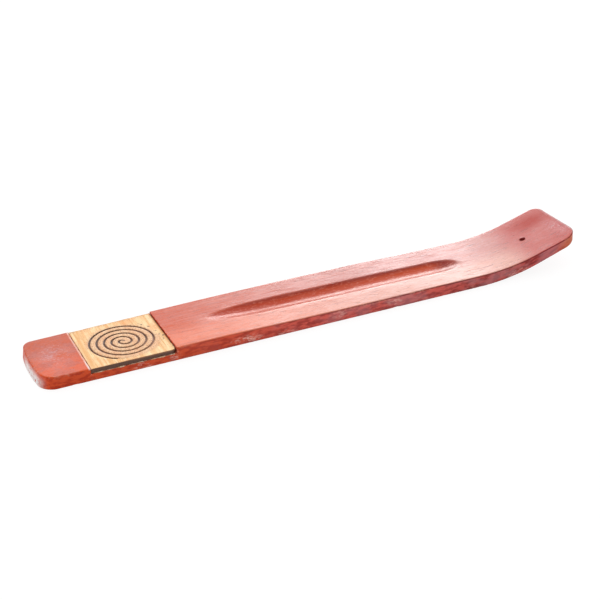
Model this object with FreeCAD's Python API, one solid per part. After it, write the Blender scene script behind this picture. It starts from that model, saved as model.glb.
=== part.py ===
"""Incense-stick holder: a long thin hardwood board with a turned-up end, an ash groove along its middle, a hole
for the stick in the turned-up end, and a square engraved tile glued into a trench across the flat end.

Millimetres. +X runs along the board towards the turned-up tip, +Y across it to the back edge, and +Z up. The
origin is the middle of the board's plan, on the surface that the board lies on.
"""

import FreeCAD
import Part

import math
import os

# Board: plan
BOARD_LENGTH = 262.2  # over the underside
BOARD_WIDTH = 38.0
FLAT_END_TAPER = 1.9  # how much narrower the board gets from the trench to the flat end, off its back edge
FLAT_END_SLANT = 0.9  # how much further the underside reaches than the top, at the flat end
FLAT_END_RADIUS = 104.0  # of the flat end's slight bulge, seen from above
FLAT_END_BULGE_TOWARDS_BACK = 1.5  # from the board's middle line to where the flat end reaches furthest
FLAT_END_FRONT_CORNER_RADIUS = 6.5
FLAT_END_BACK_CORNER_RADIUS = 3.5
TIP_FRONT_CORNER_RADIUS = 7.5
TIP_BACK_CORNER_RADIUS = 5.0

# Board: thickness along its length, square to the underside
FLAT_END_THICKNESS = 5.9
CROWN_THICKNESS = 6.4
CROWN_FROM_FLAT_END = 79.7
BEND_THICKNESS = 5.7
TIP_THICKNESS = 4.5

# Board: the turned-up end, measured on the underside at mid width
BEND_FROM_TIP = 52.0
BEND_RADIUS = 105.0
BEND_ANGLE = 18.0
BEND_SKEW = 3.0  # how much nearer the tip the bend starts at the back edge than at the front edge

# Board: softened edges
TOP_EDGE_ROUND = 0.7
UNDERSIDE_EDGE_ROUND = 0.3

# Ash groove, cut by a round-nosed tool that dips in, runs level and lifts out
GROOVE_WIDTH = 11.2
GROOVE_DEPTH = 1.8
GROOVE_FROM_TRENCH = 19.9
GROOVE_FROM_BEND = 3.0
GROOVE_DIP_AT_TILE = 30.0  # length over which the tool dips to full depth, at the end by the tile
GROOVE_DIP_AT_BEND = 12.0  # the same, at the end by the bend
GROOVE_SKEW = 1.4  # how much nearer the back edge the groove lies by the tile than by the bend

# Stick hole, drilled right through, square to the top
STICK_HOLE_DIAMETER = 2.8
STICK_HOLE_FROM_TIP = 20.1
STICK_HOLE_OFF_MIDDLE = -1.4

# Engraved tile, and the trench across the board that holds it
TILE_LENGTH = 37.9
TILE_THICKNESS = 2.0
TILE_SIDE_SETBACK = 0.3  # from the board's long sides
TILE_EDGE_ROUND = 0.12
TRENCH_FROM_FLAT_END = 22.45
TRENCH_FLOOR_THICKNESS = 3.2  # wood left under the trench
TILE_GAP_AT_FLAT_END = 0.3
TILE_GAP_AT_GROOVE = 0.2

# Glue film under the tile
GLUE_THICKNESS = 0.2
GLUE_MARGIN = 1.0  # bare strip left round the edge of the tile's underside

# Engraved spiral: half circles about two centres, with a short arc before the first and after the last
SPIRAL_EDGE_MARGIN = 3.9  # from the outermost line's middle to the tile's nearest edge, if it were centred
SPIRAL_TOWARDS_TIP = 0.65  # from the tile's middle
SPIRAL_TOWARDS_FRONT = 1.2  # from the board's middle line
SPIRAL_FIRST_RADIUS = 2.8
SPIRAL_HALF_TURNS = 8
SPIRAL_LEAD_IN_ANGLE = 80.0
SPIRAL_TAIL_ANGLE = 60.0
LINE_WIDTH = 0.95
LINE_DEPTH = 0.4

UP = FreeCAD.Vector(0, 0, 1)
FLAT_END_X = -BOARD_LENGTH / 2
TIP_X = BOARD_LENGTH / 2
BEND_TURN = math.radians(BEND_ANGLE)
BEND_START_X = TIP_X - BEND_FROM_TIP
BEND_END_X = BEND_START_X + BEND_RADIUS * math.sin(BEND_TURN)
STOCK_ALLOWANCE = BEND_SKEW + CROWN_THICKNESS  # how far rough stock and cutters run past the finished board
STOCK_END_X = max(TIP_X, BEND_END_X) + STOCK_ALLOWANCE
DIP_OVERRUN = 1.2  # the tool's arc, as a share of the arc that brings it up to the top

TILE_WIDTH = BOARD_WIDTH - 2 * TILE_SIDE_SETBACK
TRENCH_START_X = FLAT_END_X + TRENCH_FROM_FLAT_END
TILE_START_X = TRENCH_START_X + TILE_GAP_AT_FLAT_END
TRENCH_END_X = TILE_START_X + TILE_LENGTH + TILE_GAP_AT_GROOVE
TILE_CENTRE_X = TILE_START_X + TILE_LENGTH / 2
TILE_BOTTOM_Z = TRENCH_FLOOR_THICKNESS + GLUE_THICKNESS
TILE_TOP_Z = TILE_BOTTOM_Z + TILE_THICKNESS


def underside(x):
    """The point of the board's underside at x, at mid width, and the slope there as an angle."""
    turn = math.asin((min(max(x, BEND_START_X), BEND_END_X) - BEND_START_X) / BEND_RADIUS)
    ramp = max(x - BEND_END_X, 0) * math.tan(BEND_TURN)
    return FreeCAD.Vector(x, 0, BEND_RADIUS * (1 - math.cos(turn)) + ramp), turn


def point_over_bend(x):
    """The point of the top square above the underside at x, where the board thins evenly from bend to tip."""
    foot, turn = underside(x)
    thinned = (BEND_THICKNESS - TIP_THICKNESS) * (x - BEND_START_X) / BEND_FROM_TIP
    return foot + (BEND_THICKNESS - thinned) * FreeCAD.Vector(-math.sin(turn), 0, math.cos(turn))


def top_curve():
    """The top in side view at mid width: one smooth curve, crowned along the flat part."""
    bend_middle_x = (BEND_START_X + BEND_END_X) / 2
    crown = FreeCAD.Vector(FLAT_END_X + CROWN_FROM_FLAT_END, 0, CROWN_THICKNESS)
    end = FreeCAD.Vector(FLAT_END_X, 0, FLAT_END_THICKNESS)
    stock_end = FreeCAD.Vector(FLAT_END_X - STOCK_ALLOWANCE, 0, FLAT_END_THICKNESS)
    bend = [point_over_bend(x) for x in (BEND_START_X, bend_middle_x, BEND_END_X, STOCK_END_X)]
    curve = Part.BSplineCurve()
    curve.interpolate([stock_end, end, crown] + bend)
    return curve


def top_point(curve, x, y):
    """The point of the top at x and y, and the direction square to the top there."""
    side_view_x = x - BEND_SKEW * y / BOARD_WIDTH
    upright = Part.Line(FreeCAD.Vector(side_view_x, 0, 0), FreeCAD.Vector(side_view_x, 0, 1))
    met = curve.intersectCC(upright)[0]
    along = curve.tangent(curve.parameter(FreeCAD.Vector(met.X, met.Y, met.Z)))[0]
    return FreeCAD.Vector(x, y, met.Z), FreeCAD.Vector(-along.z, 0, along.x)


def back_edge(x):
    """How far back the board reaches at x: its back edge tapers in from the trench to the flat end."""
    return BOARD_WIDTH / 2 - FLAT_END_TAPER * max(TRENCH_END_X - x, 0) / (TRENCH_END_X - FLAT_END_X)


def upright_slab(start_x, end_x, setback, bottom_z, height):
    """A slab between two x, set back from the board's front and back edges."""
    front = setback - BOARD_WIDTH / 2
    outline = [(start_x, front), (end_x, front), (end_x, back_edge(end_x) - setback)]
    if start_x < TRENCH_END_X < end_x:
        outline.append((TRENCH_END_X, back_edge(TRENCH_END_X) - setback))
    outline += [(start_x, back_edge(start_x) - setback), (start_x, front)]
    wire = Part.makePolygon([FreeCAD.Vector(x, y, bottom_z) for x, y in outline])
    return Part.Face(wire).extrude(height * UP)


def flat_end_radius(z):
    """The radius of the bulging flat end at a height: its face slants, so it is a piece of a wide cone."""
    return FLAT_END_RADIUS - FLAT_END_SLANT * z / FLAT_END_THICKNESS


def flat_end_x(y, z):
    """Where the face of the flat end stands, at a distance from the board's middle line and a height."""
    off_bulge = y - FLAT_END_BULGE_TOWARDS_BACK
    return FLAT_END_X + FLAT_END_RADIUS - math.sqrt(flat_end_radius(z) ** 2 - off_bulge**2)


def plan_prism(height):
    """The board's outline from above, standing through the board: its flat end bulges, its corners are round."""
    low, high = -STOCK_ALLOWANCE, height - STOCK_ALLOWANCE
    prism = upright_slab(FLAT_END_X - STOCK_ALLOWANCE, TIP_X, 0, low, height)
    foot = FreeCAD.Vector(FLAT_END_X + FLAT_END_RADIUS, FLAT_END_BULGE_TOWARDS_BACK, low)
    end_cone = Part.makeCone(flat_end_radius(low), flat_end_radius(high), height, foot)
    waste_corner = FreeCAD.Vector(FLAT_END_X - 2 * STOCK_ALLOWANCE, -BOARD_WIDTH, low)
    waste = Part.makeBox(TRENCH_START_X - waste_corner.x, 2 * BOARD_WIDTH, height, waste_corner)
    prism = prism.cut(waste.cut(end_cone))
    middle_z = (low + high) / 2
    corners = (
        (flat_end_x(-BOARD_WIDTH / 2, middle_z), -BOARD_WIDTH / 2, FLAT_END_FRONT_CORNER_RADIUS),
        (flat_end_x(back_edge(FLAT_END_X), middle_z), back_edge(FLAT_END_X), FLAT_END_BACK_CORNER_RADIUS),
        (TIP_X, -BOARD_WIDTH / 2, TIP_FRONT_CORNER_RADIUS),
        (TIP_X, BOARD_WIDTH / 2, TIP_BACK_CORNER_RADIUS),
    )
    for x, y, radius in corners:
        corner = FreeCAD.Vector(x, y, middle_z)
        edge = min(prism.Edges, key=lambda edge: edge.CenterOfMass.distanceToPoint(corner))
        prism = prism.makeFillet(radius, [edge])
    return prism


def side_stock(curve):
    """The side profile carried across the width, a little askew because the end was bent by hand."""
    bend_middle, _ = underside(BEND_START_X + BEND_RADIUS * math.sin(BEND_TURN / 2))
    bend_start, _ = underside(BEND_START_X)
    bend_end, _ = underside(BEND_END_X)
    ramp_end, _ = underside(STOCK_END_X)
    flat_end = FreeCAD.Vector(curve.StartPoint.x, 0, 0)
    profile = Part.Wire(
        [
            Part.LineSegment(flat_end, bend_start).toShape(),
            Part.Arc(bend_start, bend_middle, bend_end).toShape(),
            Part.LineSegment(bend_end, ramp_end).toShape(),
            Part.LineSegment(ramp_end, curve.EndPoint).toShape(),
            curve.toShape(),
            Part.LineSegment(curve.StartPoint, flat_end).toShape(),
        ]
    )
    face = Part.Face(profile)
    across = FreeCAD.Vector(BEND_SKEW, BOARD_WIDTH, 0) * (1 + STOCK_ALLOWANCE / BOARD_WIDTH)
    face.translate(across * -0.5)
    return face.extrude(across)


def rim_edges(shape, sense):
    """The edges where the board's upright sides meet its top, for a sense of 1, or its underside, for -1."""
    tilt_limit = 0.5
    chosen = []
    for edge in shape.Edges:
        middle = edge.valueAt((edge.FirstParameter + edge.LastParameter) / 2)
        faces = shape.ancestorsOfType(edge, Part.Face)
        tilts = [face.normalAt(*face.Surface.parameter(middle)).z for face in faces]
        side, level = sorted(tilts, key=abs)
        if abs(side) < tilt_limit < sense * level:
            chosen.append(edge)
    return chosen


def groove_cutters(curve):
    """The space that the groove tool sweeps: a straight run at full depth, and a dip to it at each end."""
    start_x = TRENCH_END_X + GROOVE_FROM_TRENCH + GROOVE_DIP_AT_TILE
    end_x = BEND_START_X - GROOVE_FROM_BEND - GROOVE_DIP_AT_BEND
    start = top_point(curve, start_x, GROOVE_SKEW / 2)[0] - GROOVE_DEPTH * UP
    end = top_point(curve, end_x, -GROOVE_SKEW / 2)[0] - GROOVE_DEPTH * UP
    along = (end - start).normalize()
    lift = along.cross(UP.cross(along).normalize())
    nose_radius = (GROOVE_WIDTH**2 / 4 + GROOVE_DEPTH**2) / (2 * GROOVE_DEPTH)
    cutters = []
    for deepest, dip, sense in ((start, GROOVE_DIP_AT_TILE, -1), (end, GROOVE_DIP_AT_BEND, 1)):
        tool = Part.Face(Part.Wire(Part.makeCircle(nose_radius, deepest + nose_radius * lift, along)))
        path_radius = (dip**2 + GROOVE_DEPTH**2) / (2 * GROOVE_DEPTH)
        turn = math.degrees(math.asin(dip / path_radius))
        pivot = deepest + path_radius * lift
        cutters.append(tool.revolve(pivot, sense * along.cross(lift), DIP_OVERRUN * turn))
    cutters.append(tool.extrude(start - end))
    return cutters


def stick_hole_cutter(curve):
    """A drill through the turned-up end, square to the top."""
    mouth, out = top_point(curve, TIP_X - STICK_HOLE_FROM_TIP, STICK_HOLE_OFF_MIDDLE)
    reach = STOCK_ALLOWANCE + STICK_HOLE_DIAMETER
    return Part.makeCylinder(STICK_HOLE_DIAMETER / 2, 2 * reach, mouth - reach * out, out)


def trench_cutter():
    """A saw cut right across the board, from the trench floor up."""
    corner = FreeCAD.Vector(TRENCH_START_X, -BOARD_WIDTH, TRENCH_FLOOR_THICKNESS)
    return Part.makeBox(TRENCH_END_X - TRENCH_START_X, 2 * BOARD_WIDTH, CROWN_THICKNESS, corner)


def make_board():
    """The board: bent stock cut to its plan, its rims softened, with its groove, stick hole and trench cut."""
    curve = top_curve()
    height = curve.EndPoint.z + 2 * STOCK_ALLOWANCE
    board = side_stock(curve).common(plan_prism(height))
    board = board.makeFillet(TOP_EDGE_ROUND, rim_edges(board, 1))
    board = board.makeFillet(UNDERSIDE_EDGE_ROUND, rim_edges(board, -1))
    cutters = groove_cutters(curve) + [stick_hole_cutter(curve), trench_cutter()]
    return board.cut(cutters)


def point_about(centre, radius, angle):
    """The point at a distance and an angle, in degrees, from a centre, level with it."""
    turn = math.radians(angle)
    return centre + radius * FreeCAD.Vector(math.cos(turn), math.sin(turn), 0)


def arc_about(centre, radius, start_angle, end_angle):
    """A level arc between two angles, in degrees."""
    angles = (start_angle, (start_angle + end_angle) / 2, end_angle)
    return Part.Arc(*[point_about(centre, radius, angle) for angle in angles]).toShape()


def spiral_cutter():
    """The engraved line: a spiral either side of its middle, half a line width away, closed by round ends."""
    reach = min(TILE_LENGTH, TILE_WIDTH) / 2 - SPIRAL_EDGE_MARGIN
    step = (reach - SPIRAL_FIRST_RADIUS) / (SPIRAL_HALF_TURNS - 0.5)
    middle_x = TILE_CENTRE_X + SPIRAL_TOWARDS_TIP
    middle = FreeCAD.Vector(middle_x, -SPIRAL_TOWARDS_FRONT, TILE_TOP_Z - LINE_DEPTH)
    centres = (middle + FreeCAD.Vector(step / 2, 0, 0), middle - FreeCAD.Vector(step / 2, 0, 0))
    tail_start = 180 * (SPIRAL_HALF_TURNS + 1)
    arcs = [(-1, 180 - SPIRAL_LEAD_IN_ANGLE, 180)]
    arcs += [(turn, 180 * (turn + 1), 180 * (turn + 2)) for turn in range(SPIRAL_HALF_TURNS)]
    arcs.append((SPIRAL_HALF_TURNS, tail_start, tail_start + SPIRAL_TAIL_ANGLE))
    edges = []
    for turn, start_angle, end_angle in arcs:
        for side in (-LINE_WIDTH / 2, LINE_WIDTH / 2):
            radius = SPIRAL_FIRST_RADIUS + step * turn + side
            edges.append(arc_about(centres[turn % 2], radius, start_angle, end_angle))
    first_turn, first_angle, _ = arcs[0]
    last_turn, _, last_angle = arcs[-1]
    for turn, angle, half_circle in ((first_turn, first_angle, -180), (last_turn, last_angle, 180)):
        end = point_about(centres[turn % 2], SPIRAL_FIRST_RADIUS + step * turn, angle)
        edges.append(arc_about(end, LINE_WIDTH / 2, angle, angle + half_circle))
    outline = Part.Wire(Part.__sortEdges__(edges))
    return Part.Face(outline).extrude(2 * LINE_DEPTH * UP)


def make_tile():
    """The square tile, its top edges just broken, with the spiral burnt into its top."""
    end_x = TILE_START_X + TILE_LENGTH
    tile = upright_slab(TILE_START_X, end_x, TILE_SIDE_SETBACK, TILE_BOTTOM_Z, TILE_THICKNESS)
    top_edges = [edge for edge in tile.Edges if edge.BoundBox.ZMin > TILE_TOP_Z - TILE_EDGE_ROUND]
    return tile.makeFillet(TILE_EDGE_ROUND, top_edges).cut(spiral_cutter())


def make_glue():
    """The dried glue film between the trench floor and the tile."""
    start_x, end_x = TILE_START_X + GLUE_MARGIN, TILE_START_X + TILE_LENGTH - GLUE_MARGIN
    setback = TILE_SIDE_SETBACK + GLUE_MARGIN
    return upright_slab(start_x, end_x, setback, TRENCH_FLOOR_THICKNESS, GLUE_THICKNESS)


os.makedirs("parts", exist_ok=True)
for name, shape in (("board", make_board()), ("spiral_tile", make_tile()), ("tile_glue", make_glue())):
    print(name, shape.isValid(), len(shape.Solids), len(shape.Faces), round(shape.Volume, 2))
    shape.exportStep(f"parts/{name}.step")
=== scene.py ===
import math

import bmesh
import bpy
from mathutils import Matrix, Quaternion, Vector, noise


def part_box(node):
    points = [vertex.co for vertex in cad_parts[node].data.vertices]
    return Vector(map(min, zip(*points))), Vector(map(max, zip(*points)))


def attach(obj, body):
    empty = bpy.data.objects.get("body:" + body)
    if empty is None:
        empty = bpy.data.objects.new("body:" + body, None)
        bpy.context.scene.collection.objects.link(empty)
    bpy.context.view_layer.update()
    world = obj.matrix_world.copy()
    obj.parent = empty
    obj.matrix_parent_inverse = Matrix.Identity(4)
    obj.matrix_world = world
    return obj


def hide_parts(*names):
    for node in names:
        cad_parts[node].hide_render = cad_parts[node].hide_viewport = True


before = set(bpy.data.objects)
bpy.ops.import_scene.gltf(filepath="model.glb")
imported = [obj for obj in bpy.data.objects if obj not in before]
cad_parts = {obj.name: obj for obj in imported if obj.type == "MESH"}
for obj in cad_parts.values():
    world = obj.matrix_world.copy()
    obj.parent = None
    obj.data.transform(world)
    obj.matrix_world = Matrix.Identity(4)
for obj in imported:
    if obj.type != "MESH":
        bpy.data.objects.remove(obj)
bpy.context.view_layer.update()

# The board: a long thin plank of hardwood, bent up by hand at one end, stained red and lacquered satin. A
# round-nosed cutter ran the ash groove along it, a drill made the stick hole, and a saw cut the trench for
# the tile. Its edges are rubbed, and its lower edges are chipped and scuffed.
board_low, board_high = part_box("board")
tile_low, tile_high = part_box("spiral_tile")
glue_low, glue_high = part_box("tile_glue")
end_reach = {-1: -board_low.x, 1: board_high.x}
half_width = (board_high.y - board_low.y) / 2
corner_radius = {(-1, -1): 0.0065, (-1, 1): 0.0035, (1, -1): 0.0075, (1, 1): 0.005}
end_slant = 0.0009 / 0.0059
end_bulge_radius = 0.104
end_bulge_middle = 0.0015
end_trim_reach = 0.016
end_taper = 0.0019
top_edge_round = 0.0007
underside_edge_round = 0.0003
bend_start = 0.0791
bend_radius = 0.105
bend_turn = math.radians(18)
bend_skew = 0.003 / 0.038
thickness_stations = (
    (-0.1311, 0.0059), (-0.1094, 0.0058), (-0.0504, 0.0063),
    (0.0206, 0.0060), (0.0791, 0.0057), (0.1311, 0.0044),
)
tilt_stations = ((-0.0744, 0.0), (0.0086, 0.0006), (0.0286, 0.0006), (0.0606, 0.0002), (0.1311, 0.0))
trench_start = tile_low.x - 0.00014
trench_end = tile_high.x + 0.00006
trench_floor = glue_low.z
saw_height = 0.010
lip_tear = 0.00025
groove_ends = (-0.05035, 0.0761)
groove_dips = (0.030, 0.012)
groove_depth = 0.0018
groove_half_width = 0.0056
groove_skew = 0.0014
crisp_lip = 0.00006
soft_lip = 0.00051
hole_radius = 0.0014
drill_length = 0.024
hole_mouth = Vector((0.1110, -0.0014, 0.0))
hole_lean = math.radians(-15.2)
board_cells = (400, 76, 12)
planing_swell = 0.00003
grain_ripple = 0.000008
edge_chip = 0.0005


def block_of_cells(low, high, cell_counts):
    """A closed block with its six sides cut into even cells."""
    mesh = bmesh.new()
    place = Matrix.Translation((low + high) / 2) @ Matrix.Diagonal((*(high - low), 1))
    bmesh.ops.create_cube(mesh, size=1, matrix=place)
    for axis, cells in enumerate(cell_counts):
        along = [edge for edge in mesh.edges if abs(edge.verts[0].co[axis] - edge.verts[1].co[axis]) > 1e-9]
        bmesh.ops.subdivide_edges(mesh, edges=along, cuts=cells - 1, use_grid_fill=True)
    return mesh


def eased(value, low, high):
    """0 at low and before it, 1 at high and after it, and a smooth change between."""
    share = min(max((value - low) / (high - low), 0), 1)
    return share * share * (3 - 2 * share)


def side_view(x, y):
    """Where a place shows in side view: the bend runs a little askew across the board."""
    return x - bend_skew * y


def along_stations(stations, x):
    """A size at x, changing smoothly from one station to the next."""
    for (start, first), (end, last) in zip(stations, stations[1:]):
        if x <= end:
            break
    return first + (last - first) * eased(x, start, end)


def thickness(x, y):
    """The board's thickness, square to the underside: the hand-planed top leans a little to the front."""
    planed = along_stations(thickness_stations, side_view(x, y))
    return planed + along_stations(tilt_stations, x) * y / half_width


def bent_height(x, height):
    """How high a layer stands at x, when it lies that high over the underside before the bend."""
    radius = bend_radius - height
    past_bend = x - bend_start
    arc_reach = radius * math.sin(bend_turn)
    if past_bend <= 0:
        return height
    if past_bend <= arc_reach:
        return bend_radius - math.sqrt(radius**2 - past_bend**2)
    return bend_radius - radius * math.cos(bend_turn) + (past_bend - arc_reach) * math.tan(bend_turn)


def past_corner(x, y):
    """The nearest corner's radius and signs, and how far a place lies past the middle of its arc."""
    signs = (1 if x > 0 else -1, 1 if y > 0 else -1)
    radius = corner_radius[signs]
    past = Vector((abs(x) - (end_reach[signs[0]] - radius), abs(y) - (half_width - radius)))
    return radius, signs, past


def round_plan(x, y):
    """Draws a square corner of the plan in to its round."""
    radius, (end, side), past = past_corner(x, y)
    if min(past) <= 0:
        return x, y
    across, up = past / radius
    return (
        end * (end_reach[end] - radius + radius * across * math.sqrt(1 - up**2 / 2)),
        side * (half_width - radius + radius * up * math.sqrt(1 - across**2 / 2)),
    )


def from_outline(x, y):
    """How far a place lies inside the board's outline, and the way straight in from the nearest edge."""
    radius, (end, side), past = past_corner(x, y)
    if min(past) > 0:
        return radius - past.length, Vector((-end * past.x, -side * past.y, 0)).normalized()
    if end_reach[end] - abs(x) < half_width - abs(y):
        return end_reach[end] - abs(x), Vector((-end, 0, 0))
    return half_width - abs(y), Vector((0, -side, 0))


def plank_place(x, y, share):
    """A place of the unbent plank, its corners and edges rounded; share is 0 underneath and 1 on top."""
    x, y = round_plan(x, y)
    inside, inward = from_outline(x, y)
    height = thickness(x, y)
    place = Vector((x, y, share * height))
    for edge_round, level, up in ((top_edge_round, height, 1), (underside_edge_round, 0, -1)):
        below = up * (level - place.z)
        along_profile = inside if below < 1e-7 else -below
        if (inside < 1e-7 or below < 1e-7) and abs(along_profile) < edge_round:
            angle = math.radians(45) * (1 + along_profile / edge_round)
            place += inward * (edge_round * (1 - math.cos(angle)) - inside)
            place.z = level - up * edge_round * (1 - math.sin(angle))
            break
    return place


def back_share(x):
    """How far back the board reaches at x, as a share of its half width: it tapers to the flat end."""
    return 1 - end_taper / half_width * max(trench_end - x, 0) / (trench_end + end_reach[-1])


def trimmed(x, y, z):
    """A place of the plank once its flat end is cut slanting and bulging and its back edge is tapered."""
    by_end = 1 - eased(x, -end_reach[-1], end_trim_reach - end_reach[-1])
    drawn_in = (y - end_bulge_middle) ** 2 / (2 * end_bulge_radius)
    return Vector((x + (end_slant * z + drawn_in) * by_end, y * back_share(x) if y > 0 else y, z))


def groove_cut(x, y):
    """How deep the groove is below the top at a place; its lip is crisp at the back and soft in front."""
    along = (x - groove_ends[0]) / (groove_ends[1] - groove_ends[0])
    off_middle = y - groove_skew * (0.5 - along)
    nose = (groove_half_width**2 + groove_depth**2) / (2 * groove_depth)
    if abs(off_middle) > 1.5 * groove_half_width:
        return 0
    cut = math.sqrt(nose**2 - off_middle**2) - nose + groove_depth
    for end, dip, outward in ((groove_ends[0], groove_dips[0], -1), (groove_ends[1], groove_dips[1], 1)):
        past_level = max(outward * (x - end) + dip, 0)
        path = (dip**2 + groove_depth**2) / (2 * groove_depth)
        cut -= path - math.sqrt(max(path**2 - past_level**2, 0))
    softness = crisp_lip + (soft_lip - crisp_lip) * eased(off_middle, 0.001, -0.0045)
    return (cut + math.sqrt(cut**2 + softness**2)) / 2


def new_piece(name, mesh, sharp_angle):
    """An object at the origin with this mesh, smooth but for its sharp edges."""
    shape = bpy.data.meshes.new(name)
    mesh.to_mesh(shape)
    mesh.free()
    shape.shade_smooth()
    shape.set_sharp_from_angle(angle=math.radians(sharp_angle))
    piece = bpy.data.objects.new(name, shape)
    bpy.context.scene.collection.objects.link(piece)
    return piece


def carved(piece, cutter):
    """The piece's mesh with the cutter's shape cut out of it; both objects are used up."""
    cut = piece.modifiers.new("cut", "BOOLEAN")
    cut.operation = "DIFFERENCE"
    cut.solver = "EXACT"
    cut.object = cutter
    shown = piece.evaluated_get(bpy.context.evaluated_depsgraph_get())
    mesh = bmesh.new()
    mesh.from_mesh(shown.to_mesh())
    shown.to_mesh_clear()
    for used in (piece.data, cutter.data):
        bpy.data.meshes.remove(used)
    return mesh


plank_low = Vector((-end_reach[-1], -half_width, 0))
plank_high = Vector((end_reach[1], half_width, 1))
plank_mesh = block_of_cells(plank_low, plank_high, board_cells)
for vertex in plank_mesh.verts:
    vertex.co = plank_place(*vertex.co)
saw_and_drill_mesh = bmesh.new()
saw_middle = Vector(((trench_start + trench_end) / 2, 0, trench_floor + saw_height / 2))
saw_size = (trench_end - trench_start, 4 * half_width, saw_height, 1)
saw_place = Matrix.Translation(saw_middle) @ Matrix.Diagonal(saw_size)
bmesh.ops.create_cube(saw_and_drill_mesh, size=1, matrix=saw_place)
hole_mouth.z = thickness(hole_mouth.x, hole_mouth.y)
bmesh.ops.create_cone(
    saw_and_drill_mesh,
    cap_ends=True,
    segments=40,
    radius1=hole_radius,
    radius2=hole_radius,
    depth=drill_length,
    matrix=Matrix.Translation(hole_mouth) @ Matrix.Rotation(hole_lean, 4, "Y"),
)
plank = new_piece("plank", plank_mesh, sharp_angle=50)
saw_and_drill = new_piece("saw_and_drill", saw_and_drill_mesh, sharp_angle=50)
board_mesh = carved(plank, saw_and_drill)

# The trench lips are torn, the groove is cut, the flat end is trimmed, and then the tip is bent up.
unbent_layer = board_mesh.verts.layers.float_vector.new("unbent")
rubbed_layer = board_mesh.verts.layers.float.new("rubbed_edge")
groove_layer = board_mesh.verts.layers.float.new("in_groove")
for vertex in board_mesh.verts:
    x, y, z = vertex.co
    full_height = thickness(x, y)
    inside, _ = from_outline(x, y)
    to_rim = max(inside, 0) + min(z, full_height - z)
    by_trench = min(abs(x - trench_start), abs(x - trench_end))
    if by_trench < 1e-6 and z > trench_floor + 0.0005:
        torn = max(noise.noise(Vector((40 * x, 420 * y, 3))) + 0.25, 0) * lip_tear
        vertex.co.x += torn if x > trench_start + 0.001 else -torn
        vertex.co.z -= 0.4 * torn
    if z > full_height / 2:
        cut = groove_cut(x, y)
        vertex.co.z -= cut
        vertex[groove_layer] = eased(cut, 0.00005, 0.0004)
    vertex.co = trimmed(*vertex.co)
    vertex[unbent_layer] = vertex.co
    vertex[rubbed_layer] = max(1 - eased(to_rim, 0.0002, 0.0016), 1 - eased(by_trench, 0.0001, 0.0009))
    vertex.co.z = bent_height(side_view(*vertex.co.xy), vertex.co.z)

# Planing leaves a slight swell, the grain a fine ripple, and use a few chips along the lower edges.
board_mesh.normal_update()
for vertex in board_mesh.verts:
    flat = vertex[unbent_layer]
    swell = planing_swell * (1 + noise.noise(flat * 45))
    ripple = grain_ripple * (1 + noise.noise(Vector((flat.x * 120, flat.y * 260, flat.z * 260))))
    low_edge = vertex[rubbed_layer] * (1 - eased(flat.z, 0.0008, 0.0022))
    chip = edge_chip * low_edge * max(noise.noise(Vector((flat.x * 160, flat.y * 160, 5))) - 0.34, 0)
    vertex.co -= vertex.normal * (swell + ripple + chip)
bmesh.ops.triangulate(board_mesh, faces=[face for face in board_mesh.faces if len(face.verts) > 4])
board = new_piece("red_board", board_mesh, sharp_angle=50)


def paint(red, green, blue):
    """A colour given as it looks on screen, in steps of 255, as the shader takes it."""
    shares = [step / 255 for step in (red, green, blue)]
    return [share / 12.92 if share < 0.04045 else ((share + 0.055) / 1.055) ** 2.4 for share in shares] + [1]


def node(tree, kind, inputs, **settings):
    """A shader node with its settings made and its inputs filled from plain values or other nodes."""
    made = tree.nodes.new(kind)
    for name, value in settings.items():
        setattr(made, name, value)
    for name, value in inputs.items():
        if isinstance(value, bpy.types.NodeSocket):
            tree.links.new(value, made.inputs[name])
        else:
            made.inputs[name].default_value = value
    return made


def new_finish(name):
    """An empty material, with its node tree."""
    finish = bpy.data.materials.new(name)
    finish.use_nodes = True
    finish.node_tree.nodes.clear()
    return finish, finish.node_tree


def grain(tree, place, cells_per_metre, detail):
    """Soft noise with so many cells to the metre along x, y and z: few one way draw it out into streaks."""
    stretched = node(tree, "ShaderNodeMapping", {"Vector": place, "Scale": cells_per_metre}).outputs[0]
    inputs = {"Vector": stretched, "Scale": 1.0, "Detail": detail}
    return node(tree, "ShaderNodeTexNoise", inputs).outputs["Fac"]


def between(tree, value, low, high):
    """0 at low and 1 at high, with a smooth change between them."""
    inputs = {"Value": value, "From Min": low, "From Max": high}
    return node(tree, "ShaderNodeMapRange", inputs, interpolation_type="SMOOTHSTEP").outputs[0]


def worked(tree, operation, *values):
    """A plain sum on one, two or three values."""
    return node(tree, "ShaderNodeMath", dict(enumerate(values)), operation=operation).outputs[0]


def times(tree, *shares):
    """Several shares multiplied together."""
    product = shares[0]
    for share in shares[1:]:
        product = worked(tree, "MULTIPLY", product, share)
    return product


def blended(tree, share, under, over):
    """One colour laid over another by a share."""
    return node(tree, "ShaderNodeMix", {0: share, 6: under, 7: over}, data_type="RGBA").outputs[2]


def patch(tree, place, centre, reach):
    """1 in the middle of a soft patch and 0 outside its reach along x, y and z."""
    inputs = {"Vector": place, "Location": centre, "Scale": reach}
    inside = node(tree, "ShaderNodeMapping", inputs, vector_type="TEXTURE").outputs[0]
    away = node(tree, "ShaderNodeVectorMath", {0: inside}, operation="LENGTH").outputs["Value"]
    return between(tree, away, 1.0, 0.0)


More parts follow.
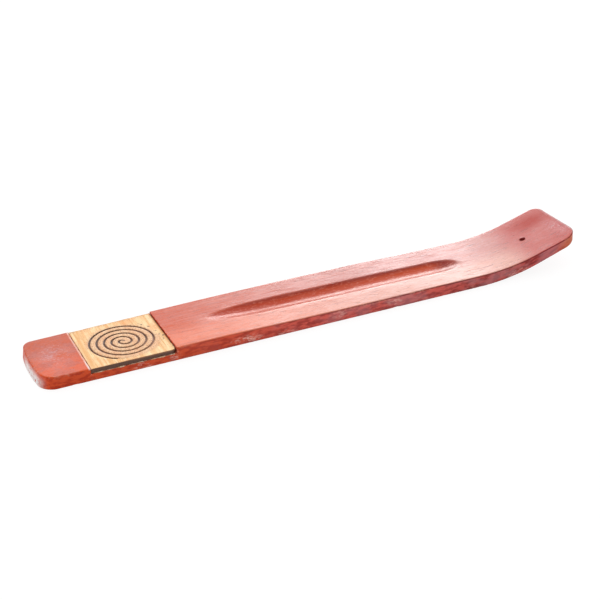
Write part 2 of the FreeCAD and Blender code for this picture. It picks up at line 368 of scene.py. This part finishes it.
def red_stained_wood():
    """Red stain over straight grain, fine dark pores, pale worn edges and scuffs, and a satin lacquer, with
    light and shade painted into parts of the colour.
    """
    finish, tree = new_finish("red_stained_wood")
    place = node(tree, "ShaderNodeAttribute", {}, attribute_name="unbent").outputs["Vector"]
    rubbed = node(tree, "ShaderNodeAttribute", {}, attribute_name="rubbed_edge").outputs["Fac"]
    in_groove = node(tree, "ShaderNodeAttribute", {}, attribute_name="in_groove").outputs["Fac"]
    x, y, z = node(tree, "ShaderNodeSeparateXYZ", {"Vector": place}).outputs
    facing = node(tree, "ShaderNodeNewGeometry", {}).outputs["Normal"]
    facing_x, facing_y, facing_z = node(tree, "ShaderNodeSeparateXYZ", {"Vector": facing}).outputs
    upright = between(tree, worked(tree, "ABSOLUTE", facing_z), 0.9, 0.4)

    # Patterns: streaks and pores along the grain, and clouds, specks, flecks and clusters over it.
    streaks = grain(tree, place, (40, 900, 900), 3.0)
    fine_streaks = grain(tree, place, (110, 2700, 2700), 2.0)
    clouds = grain(tree, place, (70, 110, 110), 4.0)
    pores = between(tree, grain(tree, place, (150, 2400, 2400), 1.0), 0.66, 0.71)
    specks = between(tree, grain(tree, place, (1300, 1600, 1600), 2.0), 0.60, 0.68)
    flecks = grain(tree, place, (650, 1000, 1000), 4.0)
    clusters = between(tree, grain(tree, place, (55, 60, 60), 2.0), 0.50, 0.64)

    # The top: paler in front than at the back, with its own red at both ends and a quieter grain there.
    # Painted light and shade: the top is painted lit and paler in front and shaded darker at the back, here
    # and on the flat end.
    towards_tip = between(tree, x, -0.10, 0.06)
    lit_front_share = between(tree, y, 0.006, -0.014)
    shaded_back_red = blended(tree, towards_tip, paint(209, 86, 50), paint(172, 76, 62))
    lit_front_red = blended(tree, towards_tip, paint(236, 116, 76), paint(200, 130, 110))
    colour = blended(tree, lit_front_share, shaded_back_red, lit_front_red)
    end_red = blended(tree, lit_front_share, paint(200, 78, 30), paint(222, 84, 26))
    colour = blended(tree, between(tree, x, -0.100, -0.112), colour, end_red)
    colour = blended(tree, between(tree, x, 0.094, 0.112), colour, paint(186, 70, 60))
    by_flat_end = between(tree, x, -0.103, -0.112)
    blotches = between(tree, grain(tree, place, (170, 210, 210), 3.0), 0.46, 0.62)
    colour = blended(tree, times(tree, by_flat_end, blotches, 0.4), colour, paint(176, 88, 80))
    even = worked(tree, "MAXIMUM", by_flat_end, between(tree, x, 0.085, 0.108))
    lively = worked(tree, "MULTIPLY_ADD", even, -0.65, 1.0)
    dark_streaks = times(tree, between(tree, streaks, 0.50, 0.75), lively, 0.35)
    colour = blended(tree, dark_streaks, colour, paint(168, 54, 40))
    pale_streaks = times(tree, between(tree, streaks, 0.50, 0.25), lively, 0.25)
    colour = blended(tree, pale_streaks, colour, paint(232, 118, 88))
    dark_lines = times(tree, between(tree, fine_streaks, 0.50, 0.75), lively, 0.25)
    colour = blended(tree, dark_lines, colour, paint(150, 46, 36))
    dark_pores = times(tree, pores, worked(tree, "MULTIPLY_ADD", towards_tip, 0.55, 0.2))
    colour = blended(tree, dark_pores, colour, paint(100, 34, 34))
    colour = blended(tree, times(tree, specks, 0.3), colour, paint(130, 50, 46))

    # The sides: mottled, and dustier towards the tip. The far rim and tip end are dull, and the far rim
    # carries painted grey shade; the front rim carries painted dark shade.
    mottle = grain(tree, place, (240, 640, 640), 4.0)
    past_tile = between(tree, x, -0.075, 0.010)
    side_red = blended(tree, past_tile, paint(218, 86, 52), paint(226, 100, 92))
    side_dark = blended(tree, past_tile, paint(184, 62, 42), paint(170, 62, 62))
    by_bend = between(tree, x, 0.045, 0.080)
    side_red = blended(tree, by_bend, side_red, paint(200, 86, 82))
    side_dark = blended(tree, by_bend, side_dark, paint(144, 54, 55))
    stained_side = blended(tree, between(tree, mottle, 0.40, 0.62), side_red, side_dark)
    dusty_side = times(tree, between(tree, clouds, 0.44, 0.58), towards_tip, 0.5)
    stained_side = blended(tree, dusty_side, stained_side, paint(194, 132, 138))
    # Painted light: a warm orange glow on the sides at the corner by the tip.
    painted_light_corner = between(tree, x, 0.117, 0.126)
    stained_side = blended(tree, times(tree, painted_light_corner, 0.7), stained_side, paint(214, 122, 86))
    colour = blended(tree, times(tree, upright, 0.9), colour, stained_side)
    rim = times(tree, between(tree, facing_z, 0.93, 0.80), worked(tree, "SUBTRACT", 1.0, in_groove))
    facing_away = between(tree, worked(tree, "ADD", facing_x, facing_y), 0.2, 0.5)
    # Painted shade: a greyer rim where the top edge turns away to the back and towards the tip.
    shaded_far_rim = times(tree, rim, between(tree, facing_z, 0.05, 0.25), facing_away)
    colour = blended(tree, times(tree, shaded_far_rim, 0.55), colour, paint(142, 84, 88))
    tip_end = between(tree, x, 0.1293, 0.1304)
    colour = blended(tree, times(tree, tip_end, 0.6), colour, paint(148, 82, 82))
    # Painted shade: a dark line along the rounded front top edge, strongest towards the tip.
    shaded_front_rim = times(tree, between(tree, facing_y, -0.30, -0.50), between(tree, facing_z, 0.25, 0.45))
    colour = blended(tree, times(tree, shaded_front_rim, towards_tip, 0.7), colour, paint(108, 28, 38))

    # The groove: a deeper red stain all over and painted shade on its far wall, and a little pale dust on its
    # floor and near wall.
    shaded_far_wall = times(tree, in_groove, between(tree, facing_y, 0.02, -0.14))
    groove_red_and_shade = blended(tree, towards_tip, paint(174, 52, 34), paint(200, 72, 30))
    groove_red_and_shade = blended(tree, between(tree, x, 0.062, 0.071), groove_red_and_shade, paint(146, 46, 34))
    # Painted shade, darkest on the steep part of the far wall.
    steep_wall_shade = times(tree, between(tree, facing_y, -0.36, -0.54), 0.6)
    groove_red_and_shade = blended(tree, steep_wall_shade, groove_red_and_shade, paint(142, 44, 34))
    wall_flecks = times(tree, between(tree, flecks, 0.54, 0.66), 0.3)
    groove_red_and_shade = blended(tree, wall_flecks, groove_red_and_shade, paint(226, 130, 104))
    stain_and_wall_shade = times(tree, in_groove, worked(tree, "MULTIPLY_ADD", shaded_far_wall, 0.45, 0.45))
    colour = blended(tree, stain_and_wall_shade, colour, groove_red_and_shade)
    floor_and_near_wall = times(tree, in_groove, between(tree, facing_y, -0.20, -0.08))
    groove_dust = times(tree, floor_and_near_wall, between(tree, flecks, 0.50, 0.62))
    colour = blended(tree, times(tree, groove_dust, towards_tip, 0.25), colour, paint(230, 160, 140))

    # A rosy patch near the tip, pale rubbed edges, and on the flat end a painted reflection of the white
    # floor, broken by flecks.
    rose_patch = patch(tree, place, (0.122, 0.010, 0.005), (0.023, 0.017, 0.02))
    colour = blended(tree, times(tree, rose_patch, 0.6), colour, paint(172, 60, 52))
    worn_edge = times(tree, rubbed, clusters, between(tree, flecks, 0.44, 0.64))
    colour = blended(tree, times(tree, worn_edge, 0.5), colour, paint(224, 150, 124))
    flat_end = times(tree, between(tree, facing_x, -0.55, -0.85), between(tree, x, -0.120, -0.126))
    end_reflection = times(tree, flat_end, between(tree, flecks, 0.25, 0.50), between(tree, y, 0.012, 0.002),
                     between(tree, y, -0.0185, -0.011), between(tree, z, 0.0062, 0.0022))
    colour = blended(tree, end_reflection, colour, paint(232, 224, 222))

    # Pale scuffs: low on the sides towards the tip, and in single patches on the front side.
    worn = times(tree, clusters, between(tree, z, 0.0046, 0.0006), between(tree, x, 0.02, 0.10), 0.7)
    for middle, height, reach, strength in (
        (-0.0855, 0.001, 0.006, 1.0), (-0.0715, 0.0025, 0.004, 0.8), (-0.0385, 0.002, 0.011, 1.0),
        (-0.020, 0.0005, 0.007, 0.7), (0.006, 0.0035, 0.006, 0.5), (0.034, 0.0035, 0.007, 0.7),
    ):
        worn_place = patch(tree, place, (middle, -half_width, height), (reach, 0.006, 0.003))
        worn = worked(tree, "MAXIMUM", worn, times(tree, worn_place, strength))
    scratches = grain(tree, place, (650, 1500, 1500), 4.0)
    scuffs = times(tree, upright, worn, between(tree, scratches, 0.48, 0.62))
    colour = blended(tree, times(tree, scuffs, 0.8), colour, paint(252, 198, 184))

    # The torn lip of the trench on the flat end's side, palest in front.
    off_lip = worked(tree, "ABSOLUTE", worked(tree, "SUBTRACT", x, trench_start - 0.0003))
    torn_lip = times(tree, between(tree, off_lip, 0.0007, 0.0003), between(tree, facing_z, 0.2, 0.6),
                     between(tree, flecks, 0.15, 0.50))
    pale_lip = blended(tree, between(tree, y, -0.008, -0.016), paint(240, 178, 156), paint(246, 226, 220))
    colour = blended(tree, times(tree, torn_lip, 0.8), colour, pale_lip)

    # Hazy patches: one on top of the flat end, and one at the tip.
    rubbed_patch = patch(tree, place, (-0.1195, 0.000, 0.006), (0.012, 0.017, 0.01))
    smudge = patch(tree, place, (0.128, -0.006, 0.0045), (0.008, 0.013, 0.01))
    haze_specks = between(tree, grain(tree, place, (900, 900, 900), 3.0), 0.50, 0.64)
    cloudy_haze = times(tree, between(tree, clouds, 0.38, 0.66), 0.4)
    soft_haze = worked(tree, "MULTIPLY_ADD", haze_specks, 0.5, cloudy_haze)
    haze = times(tree, worked(tree, "MAXIMUM", rubbed_patch, smudge), soft_haze, 0.6)
    colour = blended(tree, haze, colour, paint(214, 178, 186))

    # The lacquer: satin, duller on scuffs and haze, and thinner on the sides, in the groove and on the rims.
    gloss = node(tree, "ShaderNodeMapRange", {"Value": clouds, "To Min": 0.27, "To Max": 0.37}).outputs[0]
    gloss = worked(tree, "ADD", gloss, times(tree, worked(tree, "MAXIMUM", scuffs, haze), 0.25))
    relief = worked(tree, "SUBTRACT", times(tree, fine_streaks, 0.5), times(tree, pores, 0.9))
    bump = node(tree, "ShaderNodeBump", {"Strength": 0.5, "Distance": 0.00007, "Height": relief}).outputs[0]
    lacquer = node(tree, "ShaderNodeMapRange", {"Value": upright, "To Min": 0.5, "To Max": 0.2}).outputs[0]
    dry_groove = times(tree, in_groove, worked(tree, "MULTIPLY_ADD", shaded_far_wall, 0.3, 0.25))
    dry = worked(tree, "MAXIMUM", dry_groove, times(tree, rose_patch, 0.85))
    dry = worked(tree, "MAXIMUM", dry, times(tree, worked(tree, "MAXIMUM", rim, tip_end), 0.85))
    dry = worked(tree, "MAXIMUM", dry, times(tree, between(tree, x, 0.112, 0.130), 0.6))
    fine_sheen = worked(tree, "SUBTRACT", times(tree, between(tree, fine_streaks, 0.1, 0.9), 2.0), 1.0)
    fine_sheen = worked(tree, "MULTIPLY_ADD", fine_sheen, lively, 1.0)
    broad_sheen = worked(tree, "MULTIPLY_ADD", clouds, 1.3, 0.35)
    dotted_sheen = worked(tree, "MULTIPLY_ADD", flecks, 1.4, 0.3)
    lacquer = times(tree, lacquer, worked(tree, "SUBTRACT", 1.0, dry), fine_sheen, broad_sheen, dotted_sheen)
    inputs = {"Base Color": colour, "Roughness": gloss, "Specular IOR Level": lacquer, "Normal": bump}
    shader = node(tree, "ShaderNodeBsdfPrincipled", inputs)
    node(tree, "ShaderNodeOutputMaterial", {"Surface": shader.outputs[0]})
    return finish


board.data.materials.append(red_stained_wood())
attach(board, "root")
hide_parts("board")

# The glue: a thin film of white wood glue between the trench floor and the tile, dried to cloudy amber. Here
# and there it was squeezed out under the front and back edges of the tile, and dried in small beads.
tile_taper = end_taper / (trench_end + end_reach[-1])
squeeze_out = 0.00024
bead_height = 0.0004
film_edge = 0.002
film_half_width = glue_high.y
film_cells = (72, 40, 2)
glue_mesh = block_of_cells(glue_low, glue_high, film_cells)
for vertex in glue_mesh.verts:
    x, y, z = vertex.co
    side = 1 if y > 0 else -1
    to_side = eased(abs(y), film_half_width - film_edge, film_half_width)
    pressed = max(noise.noise(Vector((x * 330, side * 11, 2))) + 0.30, 0)
    spread = min(pressed * 2, 1)
    reach = tile_high.y - film_half_width + squeeze_out * spread
    vertex.co.y += side * to_side * reach * (0.55 + 0.45 * spread)
    if abs(vertex.co.y) > tile_high.y and z > glue_low.z + 1e-6:
        vertex.co.z += bead_height * min(pressed, 1) * (z - glue_low.z) / (glue_high.z - glue_low.z)
    if y > 0:
        vertex.co.y -= tile_taper * (tile_high.x - x) * y / film_half_width
glue = new_piece("glue_film", glue_mesh, sharp_angle=60)


def dried_wood_glue():
    """Dried white glue: a hard, slightly cloudy amber skin."""
    finish, tree = new_finish("dried_wood_glue")
    place = node(tree, "ShaderNodeTexCoord", {}).outputs["Object"]
    cloudy = between(tree, grain(tree, place, (700, 700, 700), 3.0), 0.35, 0.65)
    colour = blended(tree, cloudy, paint(196, 150, 104), paint(232, 212, 190))
    relief = grain(tree, place, (1500, 1500, 1500), 2.0)
    bump = node(tree, "ShaderNodeBump", {"Strength": 0.3, "Distance": 0.00005, "Height": relief}).outputs[0]
    gloss = node(tree, "ShaderNodeMapRange", {"Value": cloudy, "To Min": 0.28, "To Max": 0.45}).outputs[0]
    inputs = {"Base Color": colour, "Roughness": gloss, "Normal": bump}
    shader = node(tree, "ShaderNodeBsdfPrincipled", inputs)
    node(tree, "ShaderNodeOutputMaterial", {"Surface": shader.outputs[0]})
    return finish


glue.data.materials.append(dried_wood_glue())
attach(glue, "root")
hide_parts("tile_glue")

# The tile: a square of thin pale wood with its grain across the board, cut out and engraved with a spiral by
# burning, so that its edges and the line are charred. It is glued into the trench, just clear of the walls.
tile_middle = (tile_low + tile_high) / 2
tile_cells = 38
spiral_middle = Vector((tile_middle.x + 0.00065, -0.0012, 0))
spiral_first_radius = 0.0028
spiral_step = 0.0016
spiral_outer_radius = 0.0166
hand_wobble = 0.00005
wobble_seed = 3
charring = 0.00014
raised_grain = 0.000012
chipped_corner = Vector((tile_high.x, tile_low.y))
chipped_off = Vector((-0.0007, 0.0005))
tile_mesh = bmesh.new()
tile_mesh.from_mesh(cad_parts["spiral_tile"].data)
bmesh.ops.remove_doubles(tile_mesh, verts=tile_mesh.verts, dist=1e-6)
for axis in (0, 1):
    for step in range(1, tile_cells):
        cut_at = Vector((0, 0, 0))
        cut_at[axis] = tile_low[axis] + step * (tile_high[axis] - tile_low[axis]) / tile_cells
        across = Vector((0, 0, 0))
        across[axis] = 1
        everything = tile_mesh.verts[:] + tile_mesh.edges[:] + tile_mesh.faces[:]
        bmesh.ops.bisect_plane(tile_mesh, geom=everything, dist=1e-7, plane_co=cut_at, plane_no=across)

# The engraved line wobbles a little, the edges are burnt back unevenly, and one corner is chipped. The seed
# makes the wobble the same in every run.
noise.seed_set(wobble_seed)
for vertex in tile_mesh.verts:
    x, y, z = vertex.co
    place = vertex.co.copy()
    wobble = hand_wobble * (noise.noise_vector(place * 900) + noise.noise_vector(place * 260))
    tile_back = tile_high.y - tile_taper * (tile_high.x - x)
    to_edge = min(x - tile_low.x, tile_high.x - x, y - tile_low.y, tile_back - y)
    inside = eased(to_edge, 0.0002, 0.0012)
    burnt_away = (1 - inside) * charring * (1 + noise.noise(place * 420))
    vertex.co.x += inside * wobble.x
    vertex.co.y += inside * wobble.y
    middle_way = (tile_middle - place).xy
    if abs(middle_way.x) > abs(middle_way.y):
        vertex.co.x += math.copysign(burnt_away, middle_way.x)
    else:
        vertex.co.y += math.copysign(burnt_away, middle_way.y)
    chip = 1 - eased((place.xy - chipped_corner).length, 0.0004, 0.0018)
    vertex.co.xy += chip * chipped_off
    if z > tile_high.z - 0.00005:
        vertex.co.z -= raised_grain * (1 + noise.noise(Vector((place.x * 900, place.y * 90, 0))))
tile = new_piece("engraved_tile", tile_mesh, sharp_angle=40)


def pale_burnt_wood():
    """Pale wood with fine grain across the board, browned round the spiral, with charred line and edges."""
    finish, tree = new_finish("pale_burnt_wood")
    place = node(tree, "ShaderNodeTexCoord", {}).outputs["Object"]
    centred = node(tree, "ShaderNodeMapping", {"Vector": place, "Location": -spiral_middle}).outputs[0]
    x, y, z = node(tree, "ShaderNodeSeparateXYZ", {"Vector": place}).outputs
    from_x, from_y, _ = node(tree, "ShaderNodeSeparateXYZ", {"Vector": centred}).outputs
    facing = node(tree, "ShaderNodeNewGeometry", {}).outputs["Normal"]
    facing_x, _, facing_z = node(tree, "ShaderNodeSeparateXYZ", {"Vector": facing}).outputs

    # The wood: pale streaks across the board, with darker lines, warm clouds and dark specks.
    streaks = grain(tree, place, (700, 40, 700), 4.0)
    fine_streaks = grain(tree, place, (3000, 130, 3000), 2.0)
    clouds = grain(tree, place, (150, 110, 150), 3.0)
    specks = grain(tree, place, (2400, 1200, 2400), 2.0)
    colour = blended(tree, between(tree, streaks, 0.32, 0.68), paint(238, 180, 114), paint(254, 222, 170))
    dark_lines = times(tree, between(tree, fine_streaks, 0.50, 0.72), 0.45)
    colour = blended(tree, dark_lines, colour, paint(208, 144, 86))
    warm_clouds = times(tree, between(tree, clouds, 0.45, 0.70), 0.45)
    colour = blended(tree, warm_clouds, colour, paint(242, 158, 92))
    dark_specks = times(tree, between(tree, specks, 0.62, 0.70), 0.55)
    colour = blended(tree, dark_specks, colour, paint(134, 84, 52))

    # The spiral: half circles about two centres, browned around, charred along the line, and faint in front
    # on the tip's side. A broken arc carries on its last turn.
    half = worked(tree, "SIGN", from_y)
    off_centre = worked(tree, "MULTIPLY_ADD", half, spiral_step / 2, from_x)
    from_centre = node(tree, "ShaderNodeCombineXYZ", {0: off_centre, 1: from_y}).outputs[0]
    radius = node(tree, "ShaderNodeVectorMath", {0: from_centre}, operation="LENGTH").outputs["Value"]
    first_radius = spiral_first_radius + spiral_step / 2
    line_radius = worked(tree, "MULTIPLY_ADD", half, spiral_step / 2, first_radius)
    past_line = worked(tree, "ABSOLUTE", worked(tree, "SUBTRACT", radius, line_radius))
    to_line = worked(tree, "PINGPONG", past_line, spiral_step)
    in_spiral = between(tree, radius, spiral_outer_radius, 0.0140)
    colour = blended(tree, times(tree, in_spiral, 0.55), colour, paint(236, 184, 146))
    brown_dots = times(tree, in_spiral, between(tree, specks, 0.53, 0.60), 0.55)
    colour = blended(tree, brown_dots, colour, paint(138, 84, 60))
    halo = times(tree, between(tree, to_line, 0.0012, 0.0004), in_spiral, 0.25)
    colour = blended(tree, halo, colour, paint(150, 98, 66))
    fading = times(tree, between(tree, from_y, 0.001, -0.006), between(tree, from_x, -0.006, 0.003))
    ragged_line = worked(tree, "SUBTRACT", to_line, times(tree, specks, 0.0003))
    line_end = worked(tree, "MULTIPLY_ADD", fading, 0.002, past_line)
    burnt = times(tree, between(tree, ragged_line, 0.0005, 0.0001), between(tree, line_end, 0.0136, 0.0130))
    burnt = times(tree, burnt, in_spiral, worked(tree, "MULTIPLY_ADD", fading, -0.7, 0.8))
    colour = blended(tree, burnt, colour, paint(70, 46, 36))
    bearing = worked(tree, "ARCTAN2", from_y, from_x)
    off_ring = worked(tree, "ABSOLUTE", worked(tree, "SUBTRACT", radius, spiral_outer_radius))
    ghost_ring = between(tree, off_ring, 0.0006, 0.0002)
    ghost_arc = times(tree, between(tree, bearing, -0.5, -0.2), between(tree, bearing, 1.1, 0.8))
    broken = between(tree, grain(tree, place, (420, 420, 420), 2.0), 0.46, 0.60)
    ghost = times(tree, ghost_ring, ghost_arc, broken)
    colour = blended(tree, times(tree, ghost, 0.85), colour, paint(92, 60, 44))

    # The edges: toasted all round, dotted along the back, and scorched on the tip's side, where the dark band
    # also carries painted shade from the gap beside the tile.
    to_right = worked(tree, "SUBTRACT", tile_high.x, x)
    tile_back = worked(tree, "MULTIPLY_ADD", to_right, -tile_taper, tile_high.y)
    to_back = worked(tree, "SUBTRACT", tile_back, y)
    to_end = worked(tree, "MINIMUM", worked(tree, "SUBTRACT", x, tile_low.x), to_right)
    to_side = worked(tree, "MINIMUM", worked(tree, "SUBTRACT", y, tile_low.y), to_back)
    to_edge = worked(tree, "MINIMUM", to_end, to_side)
    ragged_edge = worked(tree, "SUBTRACT", to_edge, times(tree, clouds, 0.0008))
    toasted = between(tree, ragged_edge, 0.0004, -0.0003)
    colour = blended(tree, times(tree, toasted, 0.6), colour, paint(196, 128, 76))
    scorch_dots = times(tree, between(tree, to_back, 0.0030, 0.0004), between(tree, specks, 0.50, 0.60))
    colour = blended(tree, times(tree, scorch_dots, 0.55), colour, paint(150, 90, 60))
    ragged_right = worked(tree, "SUBTRACT", to_right, times(tree, specks, 0.0014))
    scorch_and_gap_shade = between(tree, ragged_right, 0.0, -0.0005)
    colour = blended(tree, times(tree, scorch_and_gap_shade, 0.85), colour, paint(84, 52, 34))

    # Char: on the upright edges and in the line, paler where the line is faint and on the flat end's side.
    below_top = worked(tree, "SUBTRACT", tile_high.z, z)
    upright = between(tree, worked(tree, "ABSOLUTE", facing_z), 0.75, 0.45)
    in_line = times(tree, between(tree, below_top, 0.0001, 0.0003), between(tree, below_top, 0.0006, 0.0005))
    charred = worked(tree, "MAXIMUM", upright, in_line)
    char = blended(tree, fine_streaks, paint(56, 36, 28), paint(120, 80, 60))
    char = blended(tree, times(tree, in_line, fading, 0.7), char, paint(160, 108, 76))
    char = blended(tree, between(tree, facing_x, -0.4, -0.8), char, paint(170, 108, 78))
    colour = blended(tree, charred, colour, char)

    # The surface: bare and dull, with a raised grain.
    relief = worked(tree, "ADD", times(tree, fine_streaks, 0.6), times(tree, specks, 0.4))
    bump = node(tree, "ShaderNodeBump", {"Strength": 0.4, "Distance": 0.00008, "Height": relief}).outputs[0]
    dull = node(tree, "ShaderNodeMapRange", {"Value": specks, "To Min": 0.50, "To Max": 0.70}).outputs[0]
    inputs = {"Base Color": colour, "Roughness": dull, "Normal": bump}
    shader = node(tree, "ShaderNodeBsdfPrincipled", inputs)
    node(tree, "ShaderNodeOutputMaterial", {"Surface": shader.outputs[0]})
    return finish


tile.data.materials.append(pale_burnt_wood())
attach(tile, "root")
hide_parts("spiral_tile")

# The stage: a white floor that keeps a soft shadow, a white surround that gives less light from the camera's
# side, and one large soft lamp low behind the turned-up end, whose light shows in the lacquer.
floor_mesh = bmesh.new()
just_below = Matrix.Translation((0, 0, -0.00005))
bmesh.ops.create_grid(floor_mesh, x_segments=2, y_segments=2, size=4, matrix=just_below)
floor = new_piece("floor", floor_mesh, sharp_angle=30)


def white_floor():
    """A white floor that the camera sees as plain white, with the object's soft shadow left on it."""
    finish, tree = new_finish("white_floor")
    light = node(tree, "ShaderNodeLightPath", {}).outputs
    mirrored = worked(tree, "MAXIMUM", light["Is Glossy Ray"], light["Is Transmission Ray"])
    seen = worked(tree, "MAXIMUM", light["Is Camera Ray"], mirrored)
    plain = node(tree, "ShaderNodeBsdfDiffuse", {"Color": paint(240, 240, 240)}).outputs[0]
    shaded = node(tree, "ShaderNodeBsdfDiffuse", {"Color": paint(100, 100, 100)}).outputs[0]
    glow = node(tree, "ShaderNodeEmission", {"Color": (1, 1, 1, 1), "Strength": 0.9}).outputs[0]
    shown = node(tree, "ShaderNodeAddShader", {0: shaded, 1: glow}).outputs[0]
    surface = node(tree, "ShaderNodeMixShader", {0: seen, 1: plain, 2: shown}).outputs[0]
    node(tree, "ShaderNodeOutputMaterial", {"Surface": surface})
    return finish


floor.data.materials.append(white_floor())

surround = bpy.data.worlds.new("white_surround")
surround.use_nodes = True
surround.node_tree.nodes.clear()
sky = surround.node_tree
direction = node(sky, "ShaderNodeTexCoord", {}).outputs["Generated"]
towards_back = node(sky, "ShaderNodeSeparateXYZ", {"Vector": direction}).outputs[1]
dimming = {"Value": towards_back, "From Min": -0.8, "From Max": 0.6, "To Min": 0.55, "To Max": 1.3}
strength = node(sky, "ShaderNodeMapRange", dimming).outputs[0]
seen = node(sky, "ShaderNodeLightPath", {}).outputs["Is Camera Ray"]
seen_strength = node(sky, "ShaderNodeMix", {0: seen, 2: strength, 3: 1.0}, data_type="FLOAT").outputs[0]
background = node(sky, "ShaderNodeBackground", {"Color": (1, 1, 1, 1), "Strength": seen_strength}).outputs[0]
node(sky, "ShaderNodeOutputWorld", {"Surface": background})
bpy.context.scene.world = surround

lamp_place = Vector((0.57, 0.80, 0.36))
lamp = bpy.data.lights.new("back_softbox", "AREA")
lamp.shape = "RECTANGLE"
lamp.size = 0.60
lamp.size_y = 0.30
lamp.energy = 4.5
lamp_object = bpy.data.objects.new("back_softbox", lamp)
lamp_object.location = lamp_place
lamp_object.rotation_euler = (-lamp_place).to_track_quat("-Z", "Y").to_euler()
bpy.context.scene.collection.objects.link(lamp_object)

# The camera: a long lens in front of the flat end and above it, at the photograph's angle and with its slight
# roll, so that the board lies in the frame as it does there. Everything is in focus.
camera = bpy.data.cameras.new("camera")
camera.sensor_width = 36
camera.lens = 84.41
camera.dof.use_dof = False
camera_object = bpy.data.objects.new("camera", camera)
camera_object.location = (-0.22157, -0.52485, 0.29574)
look = Vector((0.33956, 0.8225, -0.45628))
roll = Quaternion((0, 0, 1), math.radians(-2.51))
camera_object.rotation_euler = (look.to_track_quat("-Z", "Y") @ roll).to_euler()
bpy.context.scene.collection.objects.link(camera_object)
bpy.context.scene.camera = camera_object
bpy.context.scene.view_settings.view_transform = "Standard"
